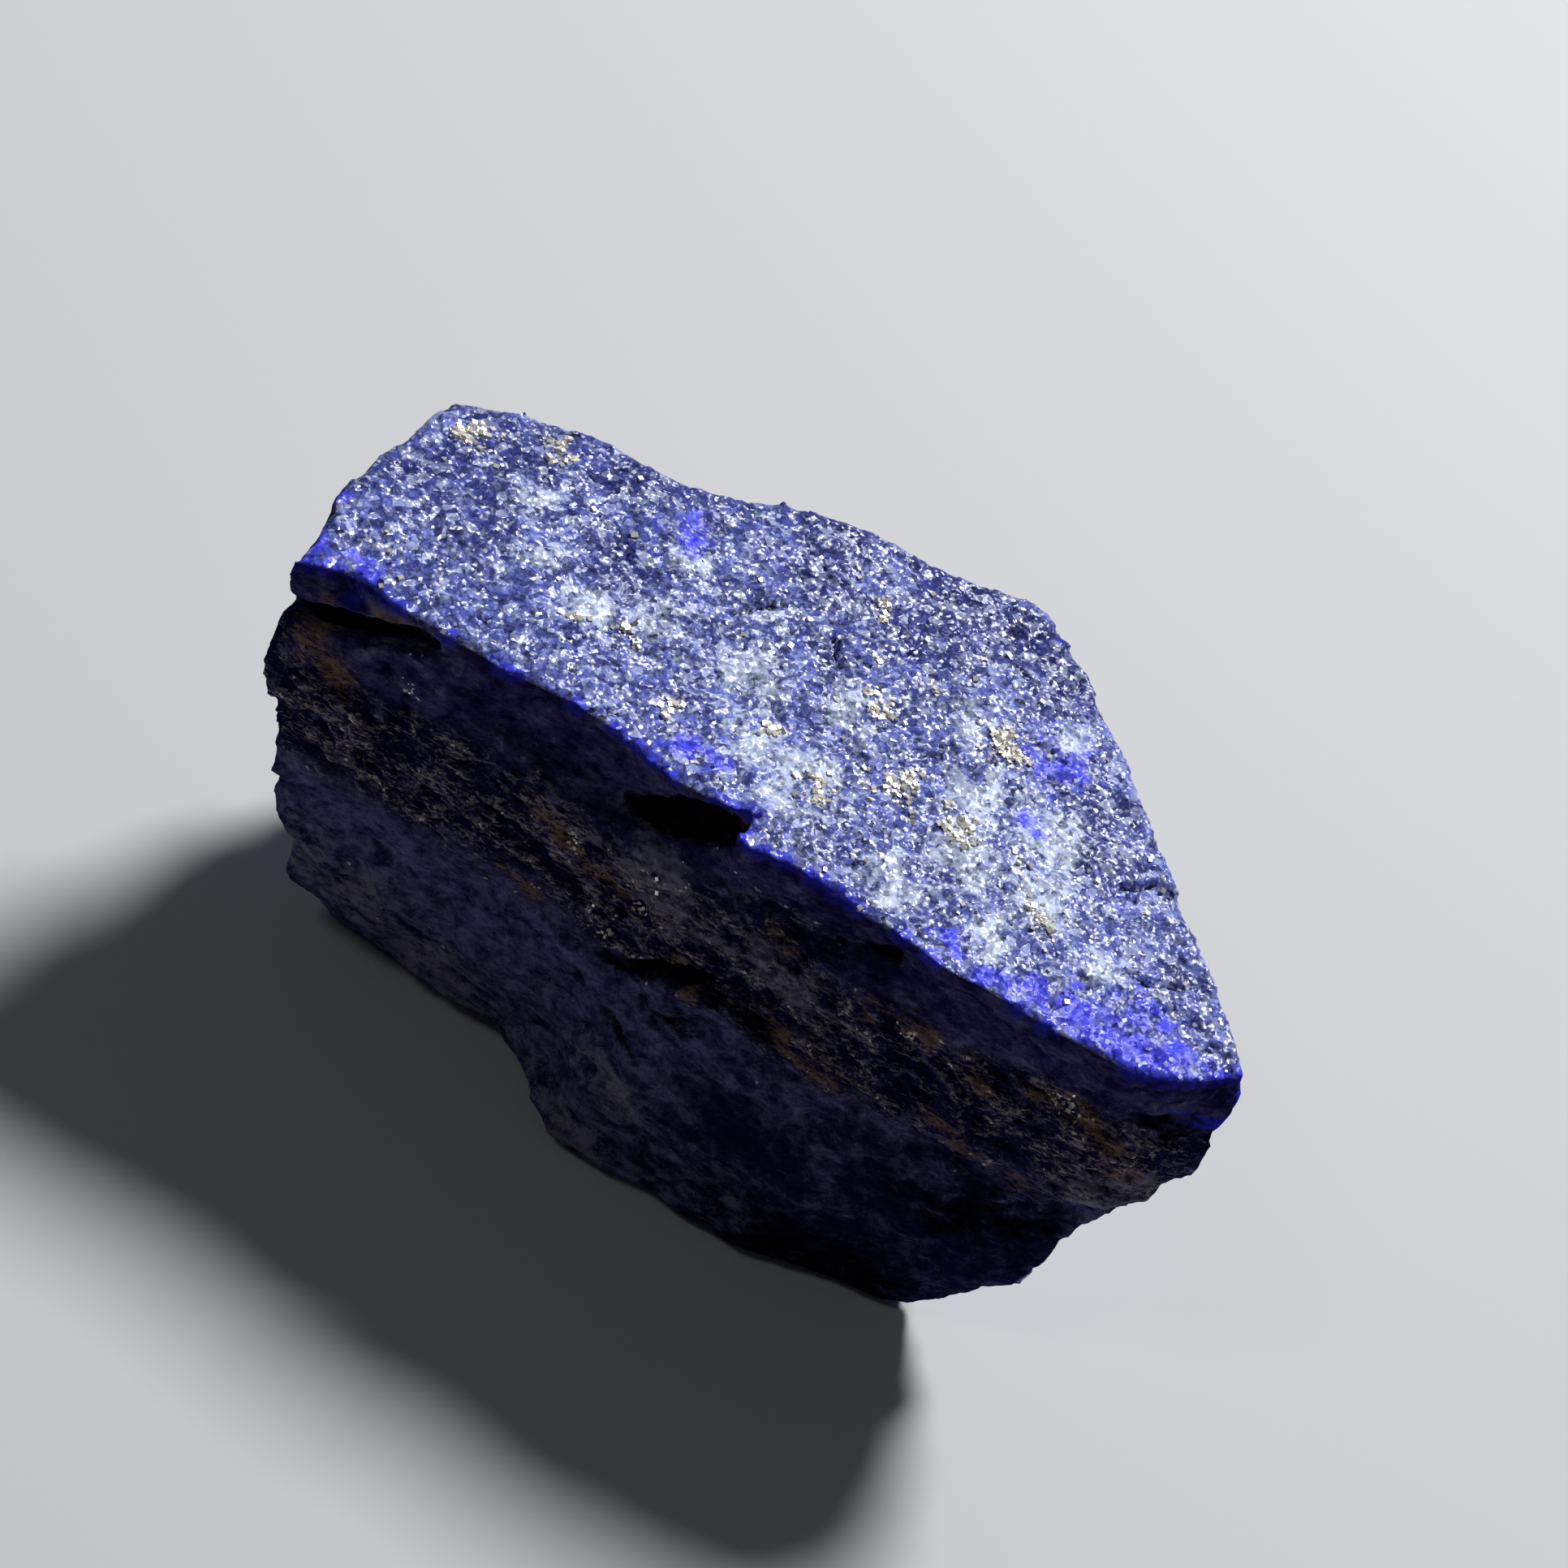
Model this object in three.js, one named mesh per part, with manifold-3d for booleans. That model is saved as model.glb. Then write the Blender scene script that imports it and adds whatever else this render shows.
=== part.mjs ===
// A raw piece of lapis lazuli: one broken lump of stone, lying on its flattest face.
// Millimetres, +Z up. +X runs along the long front ridge and -Y faces the front.
// The origin is on the ground under the middle of the stone.

import * as THREE from "three";
import { ImprovedNoise } from "three/addons/math/ImprovedNoise.js";
import { mergeVertices } from "three/addons/utils/BufferGeometryUtils.js";
import Module from "manifold-3d";

// The top is one broken plane. It meets the front in the ridge and rises towards the back.
const RIDGE_HEIGHT = 28;
const RIDGE_Y = -10;
const TOP_TILT = THREE.MathUtils.degToRad(6);

// Facets along each side of the stone. The front has as many as the other three together, so that each
// facet of the front rim has a partner across the top face.
const FACETS = { right: 20, back: 24, left: 12 };
FACETS.front = FACETS.right + FACETS.back + FACETS.left;
const SIDES = ["front", "right", "back", "left"];

// Rings of facets from the rim of the top face to its middle line, and the facets that this line stops
// short of the two end corners.
const TOP_RINGS = 7;
const LINE_STOP = 6;

// Outlines round the stone from the ground up, as [x, y, z]. Each side starts at its corner and runs to
// the next side's. An outline has `rows` facets up to the next one. Points of the rim have no height, as
// they lie on the tilted top plane.
const UNDERSIDE = {
  rows: 2,
  front: [[-19.5, -4.6, 0], [-12, -5.6, 0], [-7, -5.8, 0], [-2.5, -10, 0], [10, -11.4, 0], [17.5, -9.4, 0]],
  right: [[19.8, -7.6, 0], [16.5, 0, 0]],
  back: [[8.5, 9, 0], [-6, 9.6, 0]],
  left: [[-18.5, 5.6, 0]],
};
const HEM = {
  rows: 5,
  front: [
    [-22.4, -7.1, 4.5], [-20, -6.7, 3], [-11.9, -7.3, 2], [-8.3, -7.4, 2], [-6.2, -9.1, 2],
    [-3.8, -11.8, 1.6], [-2.3, -12.6, 1], [3.7, -12.1, 1], [9.4, -12.8, 1], [18.3, -10.9, 1],
  ],
  right: [[21.8, -9, 2.5], [18, 0, 2]],
  back: [[9.5, 10.5, 2], [-6, 11, 2]],
  left: [[-20.5, 7, 2.5]],
};
const LOWER_FACE = {
  rows: 5,
  front: [[-23.2, -9.2, 8.5], [-14, -9, 8.5], [-6, -10.2, 8.5], [0, -12.4, 8], [10, -13, 8], [18, -12.2, 8]],
  right: [[24, -10.2, 7.5], [19, 0, 8]],
  back: [[10, 11.4, 8], [-6, 12, 8]],
  left: [[-22.5, 7.5, 8]],
};
const BAND_FOOT = {
  rows: 6,
  front: [
    [-25, -9.8, 14], [-19.9, -10, 15.3], [-14.8, -10.5, 16.4], [-7.8, -11, 16.7], [-2.3, -11.7, 16.2],
    [2.4, -12.5, 15.3], [8.3, -12.7, 15.8], [14.3, -12.7, 17.1], [21.3, -11.9, 15],
  ],
  right: [[26.7, -9.8, 16], [20, 1, 15]],
  back: [[10.5, 12.4, 15], [-6, 12.6, 14]],
  left: [[-24.5, 7.8, 14], [-25.6, 0, 14]],
};
const BAND_TOP = {
  rows: 1,
  front: [
    [-27.9, -10.2, 22.6], [-22.9, -10.2, 24.4], [-16.2, -10.3, 24.2], [-12.6, -10.4, 23.6], [-7.3, -11, 22.6],
    [-4.6, -11.3, 23], [2.1, -12.1, 23.2], [8.3, -12.5, 23.3], [14.3, -13, 21.8], [24.2, -12, 21.8],
  ],
  right: [[28.9, -10.2, 22.4], [19.5, 2, 22]],
  back: [[9.4, 12.8, 22], [-8, 11.8, 22]],
  left: [[-25.6, 7, 22], [-27, -1, 22]],
};
const RIM = {
  rows: 0,
  front: [
    [-28.3, -10], [-25.6, -9], [-18.2, -9.6], [-12.8, -9.4], [-8.2, -10.1], [-5.5, -10.9], [-1.6, -11.1],
    [-1.1, -12.4], [2, -11.9], [8.4, -12.6], [10.9, -13.2], [20.9, -13.4], [24, -12.5],
  ],
  right: [[27.6, -10], [26.8, -8.3], [20.9, -1.2], [18.3, 2.9], [16.2, 5.6], [12.1, 10.3]],
  back: [
    [7.8, 13.2], [5.6, 13.5], [2.9, 12.6], [-1.1, 12.4], [-8.2, 10.8], [-12.4, 8.8], [-20.2, 8.3], [-23, 7.6],
  ],
  left: [[-26, 6], [-27.5, 1.1], [-28, -5.6]],
};

// The banded middle layer of the front stands proud of the faces under and over it, as two ledges. Each
// is a copy of the layer's edge, set in by a share of its y and moved down or up.
const LEDGE_INSET = 0.065;
const UNDER_BAND = { edge: BAND_FOOT, rise: -1.2, rows: 1 };
const OVER_BAND = { edge: BAND_TOP, rise: 0.9, rows: 4 };

// Scars where flakes broke off: the middle, the half sizes and the turn about the three axes in degrees
// of the rounded lump that each one takes away. The lump is uneven by a share of its thickness.
const SCARS = [
  { name: "slot under the left slab", at: [-24.1, -9.3, 25.6], half: [6.6, 2.6, 0.7], turn: [-32, -16, 0] },
  { name: "hollow under the ridge", at: [-4.8, -10.6, 25.4], half: [4.6, 3, 1.3], turn: [-34, -24, 0] },
  { name: "notch right of the hollow", at: [7.1, -12, 24.9], half: [3.7, 2, 0.6], turn: [-32, -32, 0] },
  { name: "groove at the right tip", at: [25.2, -11.6, 24.1], half: [2.4, 1.6, 0.4], turn: [-32, -12, 30] },
  { name: "pit at the band's foot", at: [-2.2, -11.4, 15.8], half: [4.4, 2.6, 1], turn: [-32, -25, 0] },
  { name: "small left pit", at: [-2.7, -11.6, 10.8], half: [1, 1, 0.7], turn: [0, 20, 0] },
  { name: "small right pit", at: [-0.4, -11.6, 12.6], half: [0.9, 0.9, 0.6], turn: [0, 20, 0] },
];
const SCAR_DETAIL = 3;
const SCAR_UNEVENNESS = { share: 0.5, along: 2.6, across: 1.8 };

// Flat breaks across the back and the ends: the heading from +X, the tilt above the level, both in
// degrees, and the distance from the middle of the stone.
const MIDDLE = [0, 0, 15];
const BREAKS = [
  { name: "right side", heading: 39, tilt: 0, distance: 15.6 },
  { name: "foot of the right side", heading: 34, tilt: -22, distance: 15.8 },
  { name: "left of the back", heading: 101.5, tilt: 0, distance: 12.4 },
  { name: "right of the back", heading: 84, tilt: -9, distance: 12.6 },
  { name: "foot of the back", heading: 88, tilt: -32, distance: 13.9 },
  { name: "left end", heading: 175, tilt: -14, distance: 24.2 },
];
const BREAK_SIZE = [70, 70, 30];
const BREAK_FACETS = 24;
const BREAK_UNEVENNESS = { height: 0.9, along: 8, across: 5 };

// Relief of the broken surface: height, and length along and across the layers of the stone.
const LUMPS = { height: 0.7, along: 9, across: 6 };
const CRESTS = { height: 0.5, along: 7, across: 4 };
const LAYERS = { height: 0.6, along: 17, across: 2.6 };
const ROUGHNESS = { height: 0.45, along: 2.6, across: 2 };
const TOP_RELIEF_SHARE = 0.55;
const FLAT_MARGIN = 2.5;

const topHeight = (y) => RIDGE_HEIGHT + (y - RIDGE_Y) * Math.tan(TOP_TILT);

const corner = ([x, y, z = topHeight(y)]) => new THREE.Vector3(x, y, z);

// Evenly spaced points of one straight-sided stretch of an outline, without its last point.
function stretch(points, count) {
  const line = new THREE.CatmullRomCurve3(points.map(corner), false, "catmullrom", 0);
  return line.getSpacedPoints(count).slice(0, -1);
}

// All points of an outline, anticlockwise seen from above.
function loop(outline) {
  return SIDES.flatMap((side, i) => {
    const nextCorner = outline[SIDES[(i + 1) % SIDES.length]][0];
    return stretch([...outline[side], nextCorner], FACETS[side]);
  });
}

function ledge({ edge, rise, rows }) {
  const moved = (points) => points.map(([x, y, z]) => [x, y * (1 - LEDGE_INSET), z + rise]);
  return { rows, ...Object.fromEntries(SIDES.map((side) => [side, moved(edge[side])])) };
}

// Loops of points up the walls, from the underside to the rim.
function wallLoops() {
  const lower = [UNDERSIDE, HEM, LOWER_FACE, ledge(UNDER_BAND)];
  const outlines = [...lower, BAND_FOOT, BAND_TOP, ledge(OVER_BAND), RIM];
  const loops = outlines.map(loop);
  const between = outlines.slice(0, -1).flatMap(({ rows }, level) =>
    Array.from({ length: rows }, (_, row) =>
      loops[level].map((point, i) => point.clone().lerp(loops[level + 1][i], row / rows))));
  return [...between, loops.at(-1)];
}

// The place on the top's middle line that a facet of the rim closes in on. Facets that face each other
// across the line share one place.
function linePlace(i, around) {
  return THREE.MathUtils.clamp(Math.min(i, around - i), LINE_STOP, FACETS.front - LINE_STOP);
}

// Loops of points that close in from the rim to the middle line of the top face.
function topLoops(rim) {
  const middle = (place) => rim[place].clone().lerp(rim[rim.length - place], 0.5);
  return Array.from({ length: TOP_RINGS }, (_, ring) =>
    rim.map((point, i) => point.clone().lerp(middle(linePlace(i, rim.length)), (ring + 1) / TOP_RINGS)));
}

// The closed, unroughened body: loops joined by facets. The first loop is filled flat, and the last one
// is closed along the middle line.
function bodyGeometry() {
  const walls = wallLoops();
  const loops = [...walls, ...topLoops(walls.at(-1))];
  const around = loops[0].length;
  const last = loops.length - 1;
  const vertex = (row, i) => row * around + (row === last ? linePlace(i, around) : i);
  const faces = [];
  for (let row = 0; row < last; row += 1) {
    for (let i = 0; i < around; i += 1) {
      const next = (i + 1) % around;
      const [a, b, c, d] = [vertex(row, i), vertex(row, next), vertex(row + 1, next), vertex(row + 1, i)];
      faces.push(a, b, c);
      if (c !== d) {
        faces.push(a, c, d);
      }
    }
  }
  for (const [a, b, c] of THREE.ShapeUtils.triangulateShape(loops[0], [])) {
    faces.push(a, c, b);
  }
  const geometry = new THREE.BufferGeometry().setFromPoints(loops.flat());
  geometry.setIndex(faces);
  geometry.computeVertexNormals();
  return geometry;
}

// One layer of relief, drawn out along the layers of the stone: smooth lumps, or sharp crests.
const noise = new ImprovedNoise();
function lumps({ height, along, across }, { x, y, z }) {
  return height * noise.noise(x / along, y / across, z / across);
}
function crests(size, point) {
  return size.height / 2 - Math.abs(2 * lumps(size, point));
}

// A geometry with the corners that its facets share joined.
function joined(geometry) {
  geometry.deleteAttribute("normal");
  geometry.deleteAttribute("uv");
  const whole = mergeVertices(geometry);
  whole.computeVertexNormals();
  return whole;
}

// Moves every point of a geometry along its normal by a height that depends on both.
function push(geometry, heightAt) {
  const positions = geometry.getAttribute("position");
  const normals = geometry.getAttribute("normal");
  for (let i = 0; i < positions.count; i += 1) {
    const point = new THREE.Vector3().fromBufferAttribute(positions, i);
    const normal = new THREE.Vector3().fromBufferAttribute(normals, i);
    point.addScaledVector(normal, heightAt(point, normal));
    positions.setXYZ(i, ...point);
  }
  return geometry;
}

// Height of the broken surface. The walls are rougher than the top, and the underside stays flat.
function surfaceHeight(point, normal) {
  const steepness = 1 - Math.max(normal.z, 0);
  const clearOfGround = THREE.MathUtils.smoothstep(point.z, 0, FLAT_MARGIN);
  const wall = crests(CRESTS, point) + lumps(LAYERS, point);
  const share = THREE.MathUtils.lerp(TOP_RELIEF_SHARE, 1, steepness) * clearOfGround;
  return share * (lumps(LUMPS, point) + lumps(ROUGHNESS, point) + wall * steepness);
}

// The rounded, slightly uneven lump that a scar takes away.
function scarGeometry({ at, half, turn }) {
  const [aboutX, aboutY, aboutZ] = turn.map(THREE.MathUtils.degToRad);
  const lump = new THREE.IcosahedronGeometry(1, SCAR_DETAIL)
    .scale(...half)
    .rotateX(aboutX)
    .rotateY(aboutY)
    .rotateZ(aboutZ)
    .translate(...at);
  const unevenness = { ...SCAR_UNEVENNESS, height: SCAR_UNEVENNESS.share * half[2] };
  return push(joined(lump), (point) => lumps(unevenness, point));
}

// The block that a flat break takes away.
function breakGeometry({ heading, tilt, distance }) {
  const [around, up] = [heading, tilt].map(THREE.MathUtils.degToRad);
  const level = Math.cos(up);
  const outward = new THREE.Vector3(level * Math.cos(around), level * Math.sin(around), Math.sin(up));
  const turn = new THREE.Quaternion().setFromUnitVectors(new THREE.Vector3(0, 0, 1), outward);
  const block = new THREE.BoxGeometry(...BREAK_SIZE, BREAK_FACETS, BREAK_FACETS, 1)
    .translate(0, 0, distance + BREAK_SIZE[2] / 2)
    .applyQuaternion(turn)
    .translate(...MIDDLE);
  return push(joined(block), (point) => lumps(BREAK_UNEVENNESS, point));
}

const wasm = await Module();
wasm.setup();

function solidOf(geometry) {
  const { attributes, index } = joined(geometry);
  const vertProperties = Float32Array.from(attributes.position.array);
  const triVerts = Uint32Array.from(index.array);
  return new wasm.Manifold(new wasm.Mesh({ numProp: 3, vertProperties, triVerts }));
}

// The geometry of a solid, moved so that the origin is on the ground under its middle.
function geometryOf(solid) {
  const { vertProperties, triVerts } = solid.getMesh();
  const geometry = new THREE.BufferGeometry();
  geometry.setAttribute("position", new THREE.BufferAttribute(vertProperties, 3));
  geometry.setIndex(new THREE.BufferAttribute(triVerts, 1));
  geometry.computeBoundingBox();
  const middle = geometry.boundingBox.getCenter(new THREE.Vector3());
  geometry.translate(-middle.x, -middle.y, -geometry.boundingBox.min.z);
  geometry.computeVertexNormals();
  return geometry;
}

const lump = solidOf(push(bodyGeometry(), surfaceHeight));
const lost = [...BREAKS.map(breakGeometry), ...SCARS.map(scarGeometry)].map(solidOf);
const broken = lost.reduce((rest, piece) => rest.subtract(piece), lump);

const lapis = new THREE.MeshStandardMaterial({ color: 0x2f3a8c, roughness: 0.75, metalness: 0 });

const stone = new THREE.Mesh(geometryOf(broken), lapis);
stone.name = "lapis_stone";

const rawLapis = new THREE.Group();
rawLapis.add(stone);

export default rawLapis;
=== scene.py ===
"""Looks of a raw piece of lapis lazuli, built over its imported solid.

The stone's surface is shaped in millimetres, in the solid's own frame: +X along the front ridge, -Y to
the front, +Z up. It goes back to metres before it joins the scene.
"""

import math
from typing import NamedTuple

import bmesh
import bpy
import numpy as np
from mathutils import Matrix, Vector, noise
from mathutils.bvhtree import BVHTree
from mathutils.kdtree import KDTree

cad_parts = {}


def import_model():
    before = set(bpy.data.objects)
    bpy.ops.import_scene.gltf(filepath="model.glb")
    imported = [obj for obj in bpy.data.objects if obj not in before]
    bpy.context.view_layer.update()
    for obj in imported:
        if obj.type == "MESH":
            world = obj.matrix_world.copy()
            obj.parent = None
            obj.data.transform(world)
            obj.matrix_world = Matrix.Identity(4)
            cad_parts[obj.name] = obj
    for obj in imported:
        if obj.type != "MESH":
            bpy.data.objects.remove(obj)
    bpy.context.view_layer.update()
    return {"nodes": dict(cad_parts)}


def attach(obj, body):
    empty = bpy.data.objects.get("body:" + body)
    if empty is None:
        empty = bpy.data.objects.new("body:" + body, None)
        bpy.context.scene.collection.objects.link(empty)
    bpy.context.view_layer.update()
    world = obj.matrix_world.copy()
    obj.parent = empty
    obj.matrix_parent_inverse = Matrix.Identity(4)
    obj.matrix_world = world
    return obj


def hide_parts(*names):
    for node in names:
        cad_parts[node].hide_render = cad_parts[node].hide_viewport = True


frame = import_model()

MM = 0.001
SEED = 7

# The camera stands in front of the stone, looks down on it and is rolled, so that the ridge slants. It shows
# nothing nearer than CLIP_SHARE of its distance.
LENS = 85.0
SENSOR = 36.0
ELEVATION = math.radians(42.0)
ROLL = math.radians(28.5)
AIM = Vector((-0.55, -8.66, 29.5)) * MM
DISTANCE = 190.1 * MM
CLIP_SHARE = 0.01

# Lamps: the way to them from the stone, their distance and width in metres and their power in watts. The
# floor's half width is in metres too.
KEY = {"direction": (0.2, 0.62, 0.76), "distance": 1.0, "width": 0.25, "power": 12.0}
FILL = {"direction": (-0.45, -0.45, 0.77), "distance": 1.0, "width": 0.2, "power": 0.5}
SKY_STRENGTH = 0.03
FLOOR_HALF = 1.5
FLOOR_ROUGHNESS = 0.8

# Surface mesh: the size of its cells, which are halved on the top and the front, and of those of a broad copy
# of the stone that has no scars. Corners are softened in rounds, the broad copy's in more of them. What lies
# under FLAT_HEIGHT is the flat underside.
CELL = 0.42
BROAD_CELL = 1.8
SOFTENING = 0.5
CELL_ROUNDS = 1
BROAD_ROUNDS = 8
FLAT_HEIGHT = 0.02

# The top plane rises to the back from the ridge. What lies well under it isn't top face.
RIDGE_HEIGHT = 28.0
RIDGE_Y = -10.0
TOP_TILT = math.radians(6.0)

# Spans over which each side of the stone comes in: by its slope, by its depth under the top plane and by its
# height. The weathered side is the front and, at ENDS_SHARE of it, what faces the ends. A face gets the
# weathered material where its share of that side passes MOSTLY.
TOP_SLOPE = (0.5, 0.8)
TOP_DEPTH = (1.0, 1.8)
FRONT_SLOPE = (0.2, 0.6)
ENDS_SHARE = 0.6
BAND_SLOPE = (0.7, 0.95)
BAND_FOOT = (13.4, 17.2)
BAND_TOP = (22.0, 24.6)
MOSTLY = 0.5

# Spans over which other things come in: relief, by the height over the ground; the painted shade of recesses,
# by their depth under the broad copy; the painted glow along the ridge, by the distance from it; and painted
# light on crests with painted shade between them, by the height of the relief. The ridge is where the top's
# share times the share of the rest passes RIDGE_EDGE, on the front's side.
FLAT_MARGIN = (0.15, 1.6)
RECESS_SHADE_DEPTH = (0.4, 1.5)
RIDGE_GLOW_REACH = (0.0, 1.2)
CREST_SHADING_SPAN = (-0.25, 0.3)
RIDGE_EDGE = 0.175

# Layers of the front: how steeply they dip to the right, and how much longer than wide their marks are
DIP = 0.15
STREAK = 2.0

# Top face, a fresh break: patches of each mineral as x, y and radius
CALCITE_VEILS = [
    (-14, -2.7, 1.8), (-11, -1.8, 1.6), (-10.8, 3.6, 1.2), (-17.7, -1.8, 1.4), (-19.7, 2, 1),
    (-2.8, -6, 2), (0.5, -5.6, 1.8), (0.5, -0.9, 1.8), (-5.4, 2.6, 0.8), (6.6, 3.6, 1.5),
    (9, -1.4, 2.2), (13, -1.4, 2), (12.3, 5.8, 1.1), (6.8, -9.8, 1.4), (12, -9.9, 1.3), (18.6, -8.5, 1.2),
    (-5, -1.5, 1.8), (0, -8.4, 1.6), (14, -6, 2), (9.5, -5.5, 2),
]
ULTRAMARINE_AREAS = [
    (-11.4, 5.2, 1.5), (12.4, -1.4, 1), (12.2, 4, 2), (-5.2, -8.4, 1.6),
    (21.3, -11.9, 3), (18, -11.4, 1.8), (23.2, -10.6, 1.8), (-27.5, -8, 1.1), (-25, -7.5, 0.9),
    (10.5, -12, 0.9), (13, -12.3, 1.1), (15.5, -12.4, 1.3),
]
DARK_AREAS = [
    (-14.8, 1.5, 2.4), (-21.6, 0.2, 3.2), (-21.6, 4.5, 2.8), (0.5, 5.9, 2.8), (-0.4, 2.5, 1.8),
    (-4.8, 7.5, 2.8), (5.1, 7.9, 2.8), (11, 9.6, 2.4), (9.6, 2.4, 1.4), (15.1, 0.5, 3), (-26, 1, 2),
    (3, 12, 5), (-6, 11, 5), (9, 10, 4), (16.5, 3.5, 1.8), (-15, 8, 4), (-12.5, 7.7, 2.4),
]
PYRITE_PATCHES = [
    (-8.1, -6, 1.1), (2.2, 0.6, 1), (-2.7, -4.6, 0.9), (8.9, 2.6, 1.1), (4.5, -3.6, 1.2), (8.5, -3.7, 1.1),
    (14.4, -7.2, 1), (-0.2, 7.1, 0.9), (-14.4, -3.8, 0.8), (-11.5, -3.6, 0.9), (-20, 6.5, 0.8),
    (-24.6, 3.5, 0.8), (-1.1, -0.6, 0.7), (1.2, 4.1, 0.7), (4, 4.4, 0.6), (12.1, -4.3, 0.7), (0.8, -6.9, 0.6),
]

# Short open cracks of the top face: their ends as x and y, the length over which they close at each end, and
# the size and reach of the noise that bends them
CRACKS = [
    ((-7.6, 1.3), (-5.2, 4)), ((10.4, 8.5), (11.5, 10.4)), ((19.2, -8), (21.4, -7.4)),
    ((21, -7.6), (24.2, -5.9)), ((17.5, -2.8), (19.6, -0.8)), ((-2, 4), (-0.9, 1.6)),
    ((-10.6, -8.8), (-9.2, -8.5)),
]
CRACK_WIDTH = 0.24
CRACK_DEPTH = 0.35
CRACK_END = 0.5
CRACK_WANDER = (0.9, 0.35)

# Front, a weathered side: marks as x, z and radius. Rust, pale and blue areas are its colour; the
# others place painted shadow, painted shade, and the spots of painted glints where pyrite crowds.
RUSTY_STREAKS = [
    (-26, 26.3, 0.7), (-22.4, 27.3, 0.6), (-19.6, 28.1, 0.5), (-25.6, 23.6, 1), (-22.7, 23, 1.2),
    (-9.3, 21, 1.1), (-10.1, 15.9, 0.8), (-6.7, 19.7, 0.7), (0.4, 16.4, 1), (4.3, 22.4, 0.9),
    (6.3, 17.1, 1), (8.6, 16.5, 1.2), (11.1, 22.2, 0.8), (16.1, 21.1, 1), (20.3, 22.4, 0.9),
    (22.5, 22, 0.8), (15.7, 17.4, 0.9), (17.9, 15.5, 1), (21.2, 15.5, 0.7), (25.2, 19.8, 1),
]
PALE_AREAS = [
    (-23.8, 27.3, 2), (-20.4, 7.9, 3), (-14.4, 4.7, 3), (-11, 2.2, 2.5), (-1.8, 1.9, 1.8), (-0.9, 6.9, 1.8),
    (7.8, 4.4, 1.5), (3.6, 20.7, 2), (-3.7, 21.5, 2), (25.3, 17.6, 2.2),
]
# Painted shadow: black patches for shadowed pits of the front and for the shadow at its lower right
SHADOW_AREAS = [
    (3.4, 16.8, 1.2), (13, 1, 4), (20, 11, 2.5), (25.6, 23.5, 1), (23.8, 23.7, 0.8), (-2.3, 10.5, 0.7),
    (-0.6, 13.3, 0.7),
]
# Painted shade: darker blue patches over the front, broadest at its lower right
PAINTED_SHADE_AREAS = [(20, 9, 7), (15, 4, 6), (7, 9, 2.6), (5.2, 25.3, 1.2), (-26.8, 27.4, 1), (-24.6, 27.2, 0.8)]
BLUE_AREAS = [(27.2, 25.4, 0.6), (27.4, 24, 0.6)]
# Spots where pyrite crystals crowd and where glints are painted on the front
BRIGHT_SPOTS = [
    (-9.3, 21, 0.9), (-10.1, 15.9, 0.6), (-4.1, 22.1, 0.4), (-4, 19.3, 0.4), (11.1, 22.2, 0.5),
    (20.3, 22.4, 0.8), (-19.8, 24.1, 0.5), (-5.2, 16.7, 0.6),
]

TOP_PATCHES = {
    "calcite": CALCITE_VEILS,
    "ultramarine": ULTRAMARINE_AREAS,
    "dark": DARK_AREAS,
    "pyrite": PYRITE_PATCHES,
}
FRONT_PATCHES = {
    "rust": RUSTY_STREAKS,
    "pale": PALE_AREAS,
    "painted_shadow": SHADOW_AREAS,
    "painted_shade": PAINTED_SHADE_AREAS,
    "blue": BLUE_AREAS,
}

# Noise that frays the edges of the marks: its size and reach. NEXT_NOISE moves to a part of the same noise
# that has nothing to do with the first.
FRAYS = [(3.2, 1.3), (1.4, 0.9), (0.6, 0.5)]
NEXT_NOISE = 31.0

# Relief of each side: the size along the layers, the size across them and the height of its lumps or crests,
# or the size and height of its grains
TOP_LUMPS = [(2.2, 2.2, 0.14), (0.9, 0.9, 0.07)]
TOP_GRAINS = [(0.62, 0.1), (0.38, 0.07)]
BAND_CRESTS = [(4.0, 0.9, 0.26), (1.6, 0.5, 0.26), (0.9, 0.32, 0.2)]
WOOL_LUMPS = [(3.0, 1.6, 0.16), (1.2, 0.8, 0.1), (0.6, 0.45, 0.06)]
SIDE_LUMPS = [(6.0, 5.0, 0.6), (2.6, 2.2, 0.3), (1.2, 1.0, 0.12)]
SIDE_CRESTS = [(5.0, 3.6, 0.6), (2.2, 1.6, 0.3)]
SIDE_GRAINS = [(1.1, 0.12), (0.7, 0.08)]

# A crest's line and its fall to both sides, and the rise of a grain and the width of its rounded rim, in
# shares of their height and size
CREST_LINE = 0.5
CREST_FALL = 2.0
GRAIN_ROUNDING = 0.7
GRAIN_RIM = 0.5

# Where relief fades: the depth under the top over which the other sides get theirs, and the share of the
# front's relief that is lost over and under its band, whose edges wander
SIDE_MARGIN = (0.3, 2.5)
SMOOTH_SHARE = 0.6
ZONE_WANDER = [(6.0, 3.0, 1.6), (1.8, 1.0, 0.7), (0.7, 0.5, 0.3)]

# Ledges of the band: the step from one to the next, their height, the share of a step after which a ledge
# drops, its middle level, the noise that bends them, and the noise whose span says where they are
LEDGE_SPACING = 2.1
LEDGE_HEIGHT = 0.36
LEDGE_DROP = 0.85
LEDGE_MIDDLE = 0.5
LEDGE_WANDER = [(9.0, 3.0, 0.8), (3.0, 1.0, 0.3)]
LEDGE_PLACES = [(8.0, 2.0, 1.0)]
LEDGE_SHARE = (-0.1, 0.5)

# Minerals of the unseen sides: the size of their areas, and the span of noise over which they come in
SIDE_MINERALS = {
    "calcite": (5.0, (0.1, 0.7)),
    "ultramarine": (5.0, (0.15, 1.1)),
    "dark": (7.0, (0.0, 0.45)),
    "pyrite": (2.4, (0.4, 0.65)),
    "rust": (4.0, (0.15, 0.6)),
}

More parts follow.
